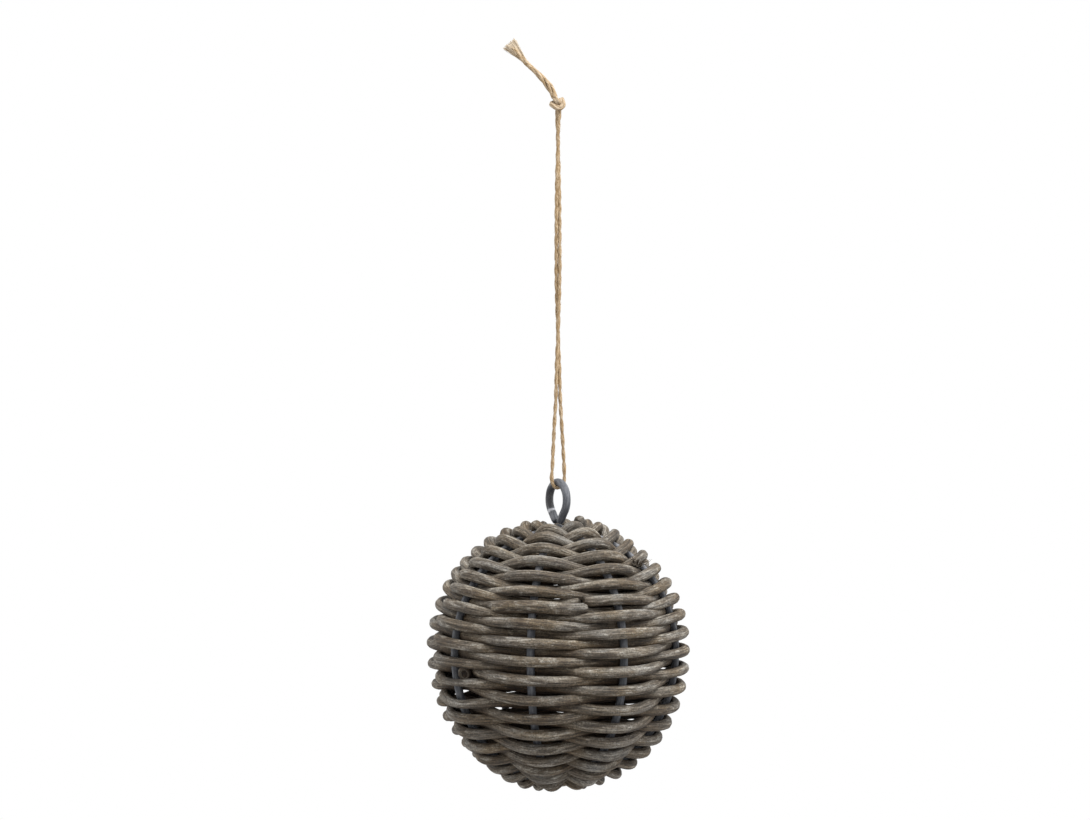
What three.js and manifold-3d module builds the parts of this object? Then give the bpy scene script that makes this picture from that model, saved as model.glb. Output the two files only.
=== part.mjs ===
// Decorative hanging ball: two rattan weavers randed in and out of eight wire ribs, a wire hanging ring
// welded on top, and a loop of jute twine tied in an overhand knot.
// Millimetres, +Z up, front towards -Y, origin at the hanging point just under the knot.
import * as THREE from "three";
import { mergeVertices } from "three/addons/utils/BufferGeometryUtils.js";
import Module from "manifold-3d";

// ---- Driving dimensions -------------------------------------------------------------------------

const GAP = 0.3; // kept between pieces that touch

// The wire frame: ribs on half ellipses, one above and one below the widest row
const RIB_COUNT = 8;
const FIRST_RIB_DEG = -13; // azimuth of rib 1, from -Y towards +X
const WIRE_DIAMETER = 3.0;
const RIB_RADIUS = 46.2; // rib centre line at the widest row
const RIB_RISE = 45.4; // from the widest row to the top of the ribs
const RIB_DROP = 50.8; // from the widest row to the bottom of the ribs
const WIDEST_Z = -207.8;
const RIB_END_SINK = 0.1; // extra gap where the curved rib leans in under the button
const RIB_STEPS = 14;
const RIB_SIDES = 5;
const HUB_RADIUS = 4.6; // the weld where the ribs meet
const HUB_HALF_HEIGHT = 2.7;
const HUB_SHOULDER = [0.7, 0.75]; // of the radius and the half height, where the button rounds over
const HUB_SIDES = 10;

// The hanging ring, welded upright on the top hub
const RING_OUTER_DIAMETER = 16.4;
const RING_WIRE = 3.1;
const RING_TOP_Z = -142;
const RING_TURN_DEG = -60; // of the ring's plane about Z, from the XZ plane
const RING_SEGMENTS = 18;
const RING_SIDES = 8;

// The rattan: two weavers, A outside rib 1 and B inside it, half a pitch apart
const STRAND_DIAMETER = 4.0;
const TURN_PITCH = 6.55; // of one weaver, along the ribs
const FIRST_ROW_A = 14.2; // arc from the top of rib 1 to weaver A at turn 0
const FIRST_ROW_B = FIRST_ROW_A - TURN_PITCH / 2;
const DRIFT = 1.2; // the rows lie closer below the upper rows, and wider below the widest row
const DRIFT_TOP = 35; // arc of the first stretch that drifts down
const DRIFT_LENGTH = 75;
const DRIFT_MEAN = 0.4;
const WEAVE_START = 9.6; // even arc from the top of the ribs where both weavers start
const WEAVE_END = 141.2;
const STEPS_PER_TURN = 2 * RIB_COUNT; // on each rib and midway between two
const STRAND_SIDES = 5;
const OUTSIDE_OFFSET = WIRE_DIAMETER / 2 + STRAND_DIAMETER / 2 + 0.1; // of a strand's centre from the rib's
const INSIDE_OFFSET = WIRE_DIAMETER / 2 + STRAND_DIAMETER / 2 + 0.45; // where a flat of the section faces the rib
const CROSSING_SPREAD = 1.08; // a strand is squeezed to a flat oval between two ribs
const SHORTEST_STEP = 0.003; // turns
const TIP_THICKNESS = 0.46; // of the full strand, where a weaver squeezes between the ribs near a hub
const TIP_ARC = 18; // over which the weaver grows to its full thickness
const LENGTH_JOINTS_A = [6.0625, 9.9375, 14.4375]; // turns, midway between two ribs, where a length ends
const LENGTH_JOINTS_B = [5.9375, 10.5625, 15.0625]; // and the next begins
const JOINT_HALF_GAP = 0.004; // turns

// The jute twine
const TWINE_DIAMETER = 1.4;
const TWINE_SIDES = 8;
const TWINE_STEPS_PER_POINT = 2;
const KNOT_Z = 3.0;
const KNOT_RADIUS = 1.85;
const KNOT_DEPTH = 1.4; // stretch of the knot from front to back
const KNOT_STEPS = 28;
const KNOT_SIDES = 5;
const KNOT_TURNS = [2, 3]; // round its axis and through its eye, as in an overhand knot
const KNOT_X = -0.2;
const TAIL_STEPS = 14;
const TAIL_SIDES = 8;

// ---- Materials ----------------------------------------------------------------------------------

const rattan = new THREE.MeshStandardMaterial({ color: 0x6b6156, roughness: 0.85, metalness: 0 });
const paintedWire = new THREE.MeshStandardMaterial({ color: 0x5c6068, roughness: 0.55, metalness: 0.3 });
const jute = new THREE.MeshStandardMaterial({ color: 0xb39c80, roughness: 0.95, metalness: 0 });

// ---- Helpers ------------------------------------------------------------------------------------

const UP = new THREE.Vector3(0, 0, 1);
const radians = THREE.MathUtils.degToRad;
const { lerp, smoothstep } = THREE.MathUtils;

function namedMesh(name, geometry, material) {
  const mesh = new THREE.Mesh(geometry, material);
  mesh.name = name;
  return mesh;
}

// A closed solid through a row of sections. Each section lists the same number of points, counter-clockwise
// for someone who looks back from the far end.
function loft(sections) {
  const sides = sections[0].length;
  const points = sections.flat();
  const faces = [];
  for (let i = 0; i + 1 < sections.length; i++) {
    for (let k = 0; k < sides; k++) {
      const a = i * sides + k;
      const b = i * sides + ((k + 1) % sides);
      faces.push(a, b, b + sides, a, b + sides, a + sides);
    }
  }
  const last = (sections.length - 1) * sides;
  for (let k = 1; k + 1 < sides; k++) {
    faces.push(0, k + 1, k);
    faces.push(last, last + k, last + k + 1);
  }
  const geometry = new THREE.BufferGeometry().setFromPoints(points);
  geometry.setIndex(faces);
  return geometry;
}

// An oval section: `across` and `up` are its half axes, and across x up points along the sweep.
function oval(centre, across, up, sides) {
  const points = [];
  for (let k = 0; k < sides; k++) {
    const angle = (2 * Math.PI * k) / sides;
    points.push(
      centre.clone().addScaledVector(across, Math.cos(angle)).addScaledVector(up, Math.sin(angle)),
    );
  }
  return points;
}

// ---- Booleans -----------------------------------------------------------------------------------

const wasm = await Module();
wasm.setup();

function solidOf(geometry) {
  const bare = geometry.clone();
  bare.deleteAttribute("normal");
  bare.deleteAttribute("uv");
  const merged = mergeVertices(bare, 1e-4);
  return new wasm.Manifold(
    new wasm.Mesh({
      numProp: 3,
      vertProperties: merged.attributes.position.array,
      triVerts: new Uint32Array(merged.index.array),
    }),
  );
}

function geometryOf(solid) {
  const { vertProperties, triVerts } = solid.getMesh();
  const geometry = new THREE.BufferGeometry();
  geometry.setAttribute("position", new THREE.BufferAttribute(vertProperties, 3));
  geometry.setIndex(new THREE.BufferAttribute(triVerts, 1));
  return geometry;
}

// ---- The surface that the rib centres lie on ----------------------------------------------------

// From the top of the ribs to the bottom, in the half plane of one rib: x is the radius, z the height.
class Meridian extends THREE.Curve {
  getPoint(t, target = new THREE.Vector3()) {
    const angle = Math.PI * t;
    const reach = t < 0.5 ? RIB_RISE : RIB_DROP;
    return target.set(RIB_RADIUS * Math.sin(angle), 0, WIDEST_Z + reach * Math.cos(angle));
  }
}

const meridian = new Meridian();
meridian.arcLengthDivisions = 800;
const MERIDIAN_LENGTH = meridian.getLength();

// The point of the surface at an arc length from the top and an azimuth, with the directions down the rib
// and out of the surface.
function onSurface(arc, azimuth) {
  const at = meridian.getPointAt(arc / MERIDIAN_LENGTH);
  const along = meridian.getTangentAt(arc / MERIDIAN_LENGTH);
  const radial = new THREE.Vector3(Math.sin(azimuth), -Math.cos(azimuth), 0);
  return {
    point: radial.clone().multiplyScalar(at.x).addScaledVector(UP, at.z),
    down: radial.clone().multiplyScalar(along.x).addScaledVector(UP, along.z),
    out: radial.clone().multiplyScalar(-along.z).addScaledVector(UP, along.x),
  };
}

// ---- The wire frame -----------------------------------------------------------------------------

// One rib: a wire from hub to hub, its corners set out by half the sag of its straight steps.
function rib(number) {
  const azimuth = radians(FIRST_RIB_DEG + ((number - 1) * 360) / RIB_COUNT);
  const sideways = new THREE.Vector3(Math.cos(azimuth), Math.sin(azimuth), 0);
  const radius = WIRE_DIAMETER / 2;
  const firstArc = HUB_RADIUS + GAP + RIB_END_SINK;
  const lastArc = MERIDIAN_LENGTH - firstArc;
  const stepArc = (lastArc - firstArc) / RIB_STEPS;
  const sag = (stepArc * stepArc) / (8 * RIB_RADIUS);
  const sections = [];
  for (let i = 0; i <= RIB_STEPS; i++) {
    const { point, out } = onSurface(firstArc + i * stepArc, azimuth);
    point.addScaledVector(out, sag / 2);
    sections.push(
      oval(point, out.clone().multiplyScalar(radius), sideways.clone().multiplyScalar(-radius), RIB_SIDES),
    );
  }
  return namedMesh(`frame_rib_${number}`, loft(sections), paintedWire);
}

// The hanging ring's torus, thickened by `extra` all round.
function ringTorus(extra) {
  const wireRadius = RING_WIRE / 2;
  const torus = new THREE.TorusGeometry(
    RING_OUTER_DIAMETER / 2 - wireRadius,
    wireRadius + extra,
    RING_SIDES,
    RING_SEGMENTS,
  );
  torus.rotateX(Math.PI / 2); // upright, its axis along Y
  torus.rotateZ(radians(RING_TURN_DEG));
  torus.translate(0, 0, RING_TOP_Z - RING_OUTER_DIAMETER / 2);
  return torus;
}

// A rounded weld button, on the axis at `height`.
function hubButton(height) {
  const shoulder = [HUB_RADIUS * HUB_SHOULDER[0], HUB_HALF_HEIGHT * HUB_SHOULDER[1]];
  const profile = [
    new THREE.Vector2(0, -HUB_HALF_HEIGHT),
    new THREE.Vector2(shoulder[0], -shoulder[1]),
    new THREE.Vector2(HUB_RADIUS, 0),
    new THREE.Vector2(shoulder[0], shoulder[1]),
    new THREE.Vector2(0, HUB_HALF_HEIGHT),
  ];
  const button = new THREE.LatheGeometry(profile, HUB_SIDES);
  button.rotateX(Math.PI / 2);
  button.translate(0, 0, height);
  return button;
}

function wireFrame() {
  const frame = new THREE.Group();
  for (let number = 1; number <= RIB_COUNT; number++) frame.add(rib(number));
  const seat = solidOf(ringTorus(GAP)); // the ring sits in the top weld
  const topHub = solidOf(hubButton(WIDEST_Z + RIB_RISE + 1)).subtract(seat);
  frame.add(namedMesh("frame_top_weld", geometryOf(topHub), paintedWire));
  frame.add(namedMesh("frame_bottom_weld", hubButton(WIDEST_Z - RIB_DROP), paintedWire));
  frame.add(namedMesh("hanging_ring", ringTorus(0), paintedWire));
  return frame;
}

// ---- The rattan ---------------------------------------------------------------------------------

// A five-sided section reaches less far down the rib than its radius
const SECTION_REACH = Math.sin((2 * Math.PI) / STRAND_SIDES);

// The arc at which a row lies, and how wide its rows are there against an even weave.
function drifted(evenArc) {
  const phase = (2 * Math.PI * (evenArc - DRIFT_TOP)) / DRIFT_LENGTH;
  return {
    arc: evenArc + DRIFT * (Math.cos(phase) - DRIFT_MEAN),
    spread: 1 - ((2 * Math.PI * DRIFT) / DRIFT_LENGTH) * Math.sin(phase),
  };
}

function weaverPoint(firstRow, side, turn) {
  const azimuth = radians(FIRST_RIB_DEG) + 2 * Math.PI * turn;
  const wave = side * Math.cos((RIB_COUNT / 2) * 2 * Math.PI * turn);
  const evenArc = firstRow + TURN_PITCH * turn;
  const { arc, spread } = drifted(evenArc);
  const surface = onSurface(arc, azimuth);
  const offset = wave > 0 ? OUTSIDE_OFFSET * wave : INSIDE_OFFSET * wave;
  const centre = surface.point.clone().addScaledVector(surface.out, offset);
  return { ...surface, evenArc, spread, wave, centre };
}

function weaverSection(firstRow, side, turn) {
  const here = weaverPoint(firstRow, side, turn);
  const ahead = weaverPoint(firstRow, side, turn + 0.002);
  const behind = weaverPoint(firstRow, side, turn - 0.002);
  const along = ahead.centre.clone().sub(behind.centre).normalize();
  const down = here.down.clone().addScaledVector(along, -here.down.dot(along)).normalize();
  const out = down.clone().cross(along).normalize();
  const fromHub = Math.min(here.evenArc - WEAVE_START, WEAVE_END - here.evenArc);
  const thickness = lerp(TIP_THICKNESS, 1, smoothstep(fromHub, 0, TIP_ARC));
  const overRib = Math.abs(here.wave);
  const crossingHalfHeight = ((TURN_PITCH / 2) * here.spread - GAP) / 2 / SECTION_REACH;
  const halfHeight = lerp(crossingHalfHeight, STRAND_DIAMETER / 2, overRib);
  const halfDepth = (STRAND_DIAMETER / 2) * lerp(CROSSING_SPREAD, 1, overRib) * thickness;
  return oval(
    here.centre,
    out.multiplyScalar(halfDepth),
    down.multiplyScalar(halfHeight),
    STRAND_SIDES,
  );
}

// One length of rattan between two turns of its weaver.
function rattanLength(name, firstRow, side, fromTurn, toTurn) {
  const turns = [fromTurn];
  const firstStep = Math.floor(fromTurn * STEPS_PER_TURN) + 1;
  for (let step = firstStep; step < toTurn * STEPS_PER_TURN; step++) {
    const turn = step / STEPS_PER_TURN;
    if (turn - fromTurn > SHORTEST_STEP && toTurn - turn > SHORTEST_STEP) turns.push(turn);
  }
  turns.push(toTurn);
  const sections = turns.map((turn) => weaverSection(firstRow, side, turn));
  return namedMesh(name, loft(sections), rattan);
}

function weaver(letter, firstRow, side, joints) {
  const group = new THREE.Group();
  const turnAt = (arc) => (arc - firstRow) / TURN_PITCH;
  const breaks = [turnAt(WEAVE_START), ...joints, turnAt(WEAVE_END)];
  for (let i = 0; i + 1 < breaks.length; i++) {
    const from = breaks[i] + JOINT_HALF_GAP;
    const to = breaks[i + 1] - JOINT_HALF_GAP;
    group.add(rattanLength(`rattan_${letter}${i + 1}`, firstRow, side, from, to));
  }
  return group;
}

// ---- The twine ----------------------------------------------------------------------------------

// The loop, from the underside of the knot down the left leg, round the top of the ring and back up
const LOOP_ROUTE = [
  [-0.45, 0.78, -0.5],
  [-0.2, 0.88, -5],
  [0.0, 0.9, -12.8],
  [0.35, 0.83, -21],
  [0.64, 0.64, -29],
  [0.84, 0.34, -37.5],
  [0.9, 0.0, -45.7],
  [0.84, -0.34, -56],
  [0.64, -0.64, -66],
  [0.34, -0.84, -76],
  [0.0, -0.9, -86.4],
  [-0.55, -0.72, -96],
  [-0.9, -0.05, -106],
  [-1.0, -0.05, -112],
  [-1.36, -0.25, -120],
  [-1.85, -0.75, -130],
  [-2.2, -1.15, -138],
  [-2.3, -1.3, -143.4],
  [-1.65, -0.95, -145.35],
  [0.0, 0.0, -146.15],
  [1.65, 0.95, -145.35],
  [2.3, 1.3, -143.4],
  [2.35, 1.2, -138],
  [1.95, 0.78, -130],
  [1.34, 0.25, -120],
  [0.95, 0.05, -112],
  [0.9, 0.05, -106],
  [0.55, 0.72, -96],
  [0.0, 0.9, -86.4],
  [-0.34, 0.84, -76],
  [-0.64, 0.64, -66],
  [-0.84, 0.34, -56],
  [-0.9, 0.0, -45.7],
  [-0.84, -0.34, -37.5],
  [-0.64, -0.64, -29],
  [-0.35, -0.83, -21],
  [0.0, -0.9, -12.8],
  [0.2, -0.88, -5],
  [0.45, -0.78, -0.5],
];

// The two ends beyond the knot, twisted together
const TAIL_ROUTE = [
  [-1.5, 0.0, 7.3],
  [-3.0, -0.2, 9.6],
  [-5.0, -0.3, 12.3],
  [-8.2, -0.2, 15.2],
  [-11.6, 0.0, 18.6],
  [-14.6, 0.2, 22.6],
  [-18.2, 0.4, 27.0],
];

const routeVectors = (route) => route.map(([x, y, z]) => new THREE.Vector3(x, y, z));

// A curve whose steps follow its route points, so they are close where the points are.
class RouteCurve extends THREE.CatmullRomCurve3 {
  getUtoTmapping(u) {
    return u;
  }
}

function twineLoop() {
  const section = new THREE.Shape(
    Array.from({ length: TWINE_SIDES }, (_, k) => {
      const angle = (2 * Math.PI * k) / TWINE_SIDES;
      const radius = TWINE_DIAMETER / 2;
      return new THREE.Vector2(radius * Math.cos(angle), radius * Math.sin(angle));
    }),
  );
  const geometry = new THREE.ExtrudeGeometry(section, {
    extrudePath: new RouteCurve(routeVectors(LOOP_ROUTE)),
    steps: (LOOP_ROUTE.length - 1) * TWINE_STEPS_PER_POINT,
    bevelEnabled: false,
  });
  return namedMesh("twine_loop", geometry, jute);
}

function twineKnot() {
  const knot = new THREE.TorusKnotGeometry(KNOT_RADIUS, TWINE_DIAMETER / 2, KNOT_STEPS, KNOT_SIDES, ...KNOT_TURNS);
  knot.rotateX(Math.PI / 2);
  knot.scale(1, KNOT_DEPTH, 1);
  knot.translate(KNOT_X, 0, KNOT_Z);
  return namedMesh("twine_knot", knot, jute);
}

function twineTail() {
  const path = new THREE.CatmullRomCurve3(routeVectors(TAIL_ROUTE));
  const forward = new THREE.Vector3(0, 1, 0);
  const sections = [];
  for (let i = 0; i <= TAIL_STEPS; i++) {
    const t = i / TAIL_STEPS;
    const along = path.getTangentAt(t);
    const side = forward.clone().cross(along).normalize();
    const fray = smoothstep(t, 0.62, 1);
    const halfWidth = lerp(1.45, 1.1, smoothstep(t, 0, 0.6)) + 1.7 * fray;
    const halfDepth = lerp(0.95, 0.85, t) + 0.5 * fray;
    sections.push(
      oval(
        path.getPointAt(t),
        side.multiplyScalar(halfWidth),
        forward.clone().multiplyScalar(halfDepth),
        TAIL_SIDES,
      ),
    );
  }
  return namedMesh("twine_tail", loft(sections), jute);
}

// ---- The whole ball -----------------------------------------------------------------------------

const ball = new THREE.Group();
ball.add(wireFrame());
ball.add(weaver("a", FIRST_ROW_A, 1, LENGTH_JOINTS_A));
ball.add(weaver("b", FIRST_ROW_B, -1, LENGTH_JOINTS_B));
ball.add(twineLoop(), twineKnot(), twineTail());

export default ball;
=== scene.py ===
import math
import random

import bmesh
import bpy
import numpy as np
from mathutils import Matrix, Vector, noise


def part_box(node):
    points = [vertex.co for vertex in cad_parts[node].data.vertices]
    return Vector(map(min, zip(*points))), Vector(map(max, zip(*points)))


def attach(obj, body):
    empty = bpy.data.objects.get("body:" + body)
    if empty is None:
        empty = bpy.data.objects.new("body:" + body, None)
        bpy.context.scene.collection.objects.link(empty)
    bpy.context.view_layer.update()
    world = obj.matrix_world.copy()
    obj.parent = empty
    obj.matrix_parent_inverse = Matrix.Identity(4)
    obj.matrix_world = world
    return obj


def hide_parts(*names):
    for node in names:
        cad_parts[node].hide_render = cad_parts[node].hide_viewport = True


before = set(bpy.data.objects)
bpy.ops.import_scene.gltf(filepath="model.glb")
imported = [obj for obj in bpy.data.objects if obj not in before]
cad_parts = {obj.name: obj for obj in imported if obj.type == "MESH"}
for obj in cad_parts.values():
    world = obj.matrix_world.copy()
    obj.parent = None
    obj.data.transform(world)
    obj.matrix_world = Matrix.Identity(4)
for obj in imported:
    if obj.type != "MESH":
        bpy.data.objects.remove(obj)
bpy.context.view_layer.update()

MM = 0.001

# ---- Driving dimensions -----------------------------------------------------------------------------

RIB_COUNT = 8
FIRST_RIB = math.radians(-13)  # azimuth of rib 1, from -Y towards +X
WIRE_DIAMETER = 3.0 * MM
RIB_RADIUS = 46.2 * MM
WIDEST_Z = -207.8 * MM
RIB_RISE = 45.4 * MM
RIB_DROP = 50.8 * MM

STRAND_DIAMETER = 4.02 * MM
TURN_PITCH = 6.55 * MM  # of one weaver, along the ribs
FIRST_ROW_A = 14.2 * MM  # arc from the top of rib 1 to weaver A at turn 0
DRIFT = 1.2 * MM  # the rows lie closer below the upper rows, and wider below the widest row
DRIFT_TOP = 35 * MM
DRIFT_LENGTH = 75 * MM
DRIFT_MEAN = 0.4
BACK_SHIFT = -0.7 * MM  # the rows at the back don't lie level with those in front
BACK_WAVE = 1.7 * MM
BACK_WAVE_LENGTH = 71 * MM
SIDE_WAVE = 2.2 * MM
SIDE_WAVE_START = 31 * MM
SIDE_WAVE_LENGTH = 68 * MM
FRONT_DROP = 1.8 * MM  # the middle rows sag in front
FRONT_DROP_ARC = 79 * MM
FRONT_DROP_REACH = 30 * MM
FRONT_DROP_AZIMUTH = math.radians(5)
RIGHT_LIFT = 1.7 * MM  # and stand higher on the right
RIGHT_LIFT_ARC = 36 * MM
RIGHT_LIFT_LENGTH = 74 * MM
RIGHT_LIFT_SWING = 0.6
RIGHT_LIFT_NARROWNESS = 8
LEVEL_TOP = 8 * MM, 30 * MM  # arcs over which these shifts grow from nothing below the top,
LEVEL_BOTTOM = 118 * MM, 142 * MM  # and fade again above the bottom
ROW_WANDER = 0.36 * MM
FULLER_CROWN = 1.2 * MM  # how much further out the top rows stand on the right
FULLER_CROWN_FADE = 14 * MM, 32 * MM
FULLER_CROWN_LEFT = 0.25  # share of it on the left
OUTSIDE_REACH = 3.5 * MM  # of a strand's centre from the rib's, outside
INSIDE_REACH = 2.8 * MM
INSIDE_SWELL = 0.22  # a strand is fuller where it is pressed against the inside of a rib

TWINE_LAY = 11 * MM  # length of one full twist of its two plies

RING_LOW, RING_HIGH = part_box("hanging_ring")
RING_CENTRE = (RING_LOW + RING_HIGH) / 2
RING_OUTER_RADIUS = 8.2 * MM
RING_WIRE_RADIUS = 1.55 * MM
RING_TURN = math.radians(-60)  # of the ring's plane about Z, from the XZ plane

UP = np.array([0.0, 0.0, 1.0])
VIEWPOINT = np.array([-0.00504, -1.1, -0.1155])
CAMERA_LENS = 93.7  # mm, on a sensor 36 mm wide
CAMERA_SENSOR = 36
LIGHTS = [  # name, place, diameter, watts and colour
    ("key light", (0.6, -0.7, 1.6), 1.2, 59, (0.985, 0.995, 1.0)),
    ("left light", (-1.4, 0.2, 0.2), 1.0, 6, (1.0, 1.0, 1.0)),
    ("right light", (1.4, 0.2, 0.3), 1.0, 9, (0.98, 0.99, 1.0)),
]
FLOOR_Z = -1.0
FLOOR_RADIUS = 4.0
FLOOR_GREY = 0.48


# ---- Camera, light and surroundings -----------------------------------------------------------------

def camera():
    data = bpy.data.cameras.new("camera")
    data.lens = CAMERA_LENS
    data.sensor_width = CAMERA_SENSOR
    data.clip_end = 50
    thing = bpy.data.objects.new("camera", data)
    thing.location = VIEWPOINT
    thing.rotation_euler = (math.pi / 2, 0, 0)
    bpy.context.scene.collection.objects.link(thing)
    bpy.context.scene.camera = thing


def soft_light(name, place, size, watts, colour):
    """A round area light that shines on the middle of the ball."""
    data = bpy.data.lights.new(name, "AREA")
    data.shape = "DISK"
    data.size = size
    data.energy = watts
    data.color = colour
    thing = bpy.data.objects.new(name, data)
    thing.location = place
    thing.rotation_euler = (Vector((0, 0, WIDEST_Z)) - thing.location).to_track_quat("-Z", "Y").to_euler()
    thing.visible_camera = False
    bpy.context.scene.collection.objects.link(thing)


def surroundings():
    world = bpy.data.worlds.new("white studio")
    world.use_nodes = True
    background = world.node_tree.nodes["Background"]
    background.inputs["Color"].default_value = (1, 1, 1, 1)
    background.inputs["Strength"].default_value = 1.0
    bpy.context.scene.world = world
    bpy.context.scene.view_settings.view_transform = "Standard"
    for light in LIGHTS:
        soft_light(*light)

    bm = bmesh.new()
    bmesh.ops.create_circle(bm, cap_ends=True, segments=64, radius=FLOOR_RADIUS)
    bmesh.ops.translate(bm, verts=bm.verts, vec=(0, 0, FLOOR_Z))
    finished("floor", bm, pale_floor())


# ---- Mesh helpers -----------------------------------------------------------------------------------

SEAM_DISTANCE = 0.0001 * MM


def finished(name, bm, material):
    """The object of a mesh that is ready."""
    mesh = bpy.data.meshes.new(name)
    bm.to_mesh(mesh)
    bm.free()
    for polygon in mesh.polygons:
        polygon.use_smooth = True
    mesh.materials.append(material)
    thing = bpy.data.objects.new(name, mesh)
    bpy.context.scene.collection.objects.link(thing)
    return thing


def unit(vectors):
    return vectors / np.linalg.norm(vectors, axis=-1, keepdims=True)


def smooth_step(value, low, high):
    share = np.clip((value - low) / (high - low), 0, 1)
    return share * share * (3 - 2 * share)


def running_length(points):
    """The distance travelled along a line at each of its points."""
    return np.concatenate([[0], np.cumsum(np.linalg.norm(np.diff(points, axis=0), axis=1))])


def stand_for(piece, node):
    """The piece is shown in place of a CAD node."""
    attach(piece, "root")
    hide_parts(node)


def finish_layers(bm):
    """What the finishes read at each vertex: its place, in mm, in the straightened piece, and its wear with
    painted shade and light.
    """
    straightened = bm.verts.layers.float_vector.get("straightened")
    wear_and_shade = bm.verts.layers.float.get("wear_and_shade")
    if straightened is None:
        straightened = bm.verts.layers.float_vector.new("straightened")
        wear_and_shade = bm.verts.layers.float.new("wear_and_shade")
    return straightened, wear_and_shade


def straight_tube(angle, radius, at):
    """Places, in mm, on a straight tube about the Z axis."""
    return np.stack([np.cos(angle) * radius, np.sin(angle) * radius, at], axis=-1) / MM


def unevenness(straight, across, along, shift=0.0):
    """Smooth noise between -1 and 1 on a straightened piece, at its own scales across and along it."""
    return np.array([noise.noise((across * x, across * y, along * z + shift)) for x, y, z in straight])


def rolled_tube(bm, sides, steps, place):
    """A grid rolled up into a tube with filled ends. place(angle, step) gives the vertices' places, their
    places in the straightened tube and their wear with painted shade and light."""
    straight_layer, wear_and_shade_layer = finish_layers(bm)
    made = bmesh.ops.create_grid(bm, x_segments=sides, y_segments=steps, size=1.0)["verts"]
    flat = np.array([vertex.co[:] for vertex in made])
    column = np.round((flat[:, 0] + 1) / 2 * sides).astype(int)
    angle = column * 2 * math.pi / sides
    step = np.round((flat[:, 1] + 1) / 2 * steps).astype(int)
    places, straightened, wear_and_shade = place(angle, step)
    for vertex, co, straight, worn in zip(made, places, straightened, wear_and_shade):
        vertex.co = co
        vertex[straight_layer] = straight
        vertex[wear_and_shade_layer] = worn
    seam = [vertex for vertex, c in zip(made, column) if c in (0, sides)]
    rims = [[v for v, c, s in zip(made, column, step) if s == end and c < sides] for end in (0, steps)]
    bmesh.ops.remove_doubles(bm, verts=seam, dist=SEAM_DISTANCE)
    for rim in rims:
        edges = dict.fromkeys(edge for vertex in rim if vertex.is_valid for edge in vertex.link_edges)
        bmesh.ops.holes_fill(bm, edges=[edge for edge in edges if edge.is_boundary], sides=0)


# ---- The surface that the rib centres lie on --------------------------------------------------------

TABLE_ANGLE = np.linspace(0, math.pi, 801)
TABLE_ARC = np.concatenate([[0], np.cumsum(np.hypot(
    np.diff(RIB_RADIUS * np.sin(TABLE_ANGLE)),
    np.diff(np.where(TABLE_ANGLE < math.pi / 2, RIB_RISE, RIB_DROP) * np.cos(TABLE_ANGLE)),
))])
RIB_LENGTH = TABLE_ARC[-1]


def on_surface(arc, azimuth):
    """Points at an arc length from the top, with the directions down the ribs and out of the ball."""
    angle = np.interp(arc, TABLE_ARC, TABLE_ANGLE)
    reach = np.where(angle < math.pi / 2, RIB_RISE, RIB_DROP)
    slope = unit(np.stack([RIB_RADIUS * np.cos(angle), -reach * np.sin(angle)], axis=-1))
    radial = np.stack([np.sin(azimuth), -np.cos(azimuth), np.zeros_like(azimuth)], axis=-1)
    point = radial * (RIB_RADIUS * np.sin(angle))[:, None] + UP * (WIDEST_Z + reach * np.cos(angle))[:, None]
    down = radial * slope[:, :1] + UP * slope[:, 1:]
    out = radial * -slope[:, 1:] + UP * slope[:, :1]
    return point, down, out


# ---- The rattan -------------------------------------------------------------------------------------

def wander(turns, seed, rates=(0.73, 1.9, 4.3)):
    """Smooth unevenness between -1 and 1 along a weaver."""
    draw = random.Random(seed)
    total = sum(
        np.sin(2 * math.pi * rate * turns + draw.uniform(0, 2 * math.pi)) / (1 + 0.5 * i)
        for i, rate in enumerate(rates)
    )
    return total / sum(1 / (1 + 0.5 * i) for i in range(len(rates)))


WEAVERS = {
    "a": {"first_row": FIRST_ROW_A, "side": 1, "seed": 11},
    "b": {"first_row": FIRST_ROW_A - TURN_PITCH / 2, "side": -1, "seed": 29},
}
WEAVE_START = 8.6 * MM  # even arc from the top of the ribs
WEAVE_END = 142.2 * MM
HUB_TAPER = 16 * MM  # arc over which the weavers grow to their full reach and thickness
HUB_REACH = 0.95
HUB_THICKNESS = 0.86
LOWER_THINNING = 0.13  # the lowest rows are of thinner rattan
LOWER_ROWS = 100 * MM, 125 * MM  # arcs over which it gets thinner
REACH_WANDER = 0.07

# Where the rows lie apart in front and behind, so that light shows through the ball for a viewer in front:
# x and z at the middle of the ball, and how far the rows are pressed apart, in mm
SEE_THROUGH = [(-22.0, -231.8, 0.5), (-36.4, -224.4, 1.3), (-38.3, -217.8, 0.9), (39.9, -214.5, 0.5)]
GAP_HALF_HEIGHT = 5 * MM
GAP_HALF_ANGLE = math.radians(12)
GAP_SHARPNESS = 0.8 * MM  # distance from a gap at which a row is pushed away almost in full
GAP_EASE = 0.4 * MM
GAP_THINNING = 1 / (6 * MM)


def gaps():
    """Arc, azimuth and push of each place where a line of sight enters or leaves the ball."""
    found = []
    for x, z, push in SEE_THROUGH:
        line = VIEWPOINT + np.linspace(0.93, 1.07, 2000)[:, None] * (np.array([x, 0, z]) * MM - VIEWPOINT)
        across = np.hypot(line[:, 0], line[:, 1]) / RIB_RADIUS
        lift = (line[:, 2] - WIDEST_Z) / np.where(line[:, 2] > WIDEST_Z, RIB_RISE, RIB_DROP)
        for k in np.flatnonzero(np.diff(np.hypot(across, lift) < 1)):
            arc = np.interp(math.atan2(across[k], lift[k]), TABLE_ANGLE, TABLE_ARC)
            found.append((arc, math.atan2(line[k, 0], -line[k, 1]), push * MM))
    return found


GAPS = gaps()


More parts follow.
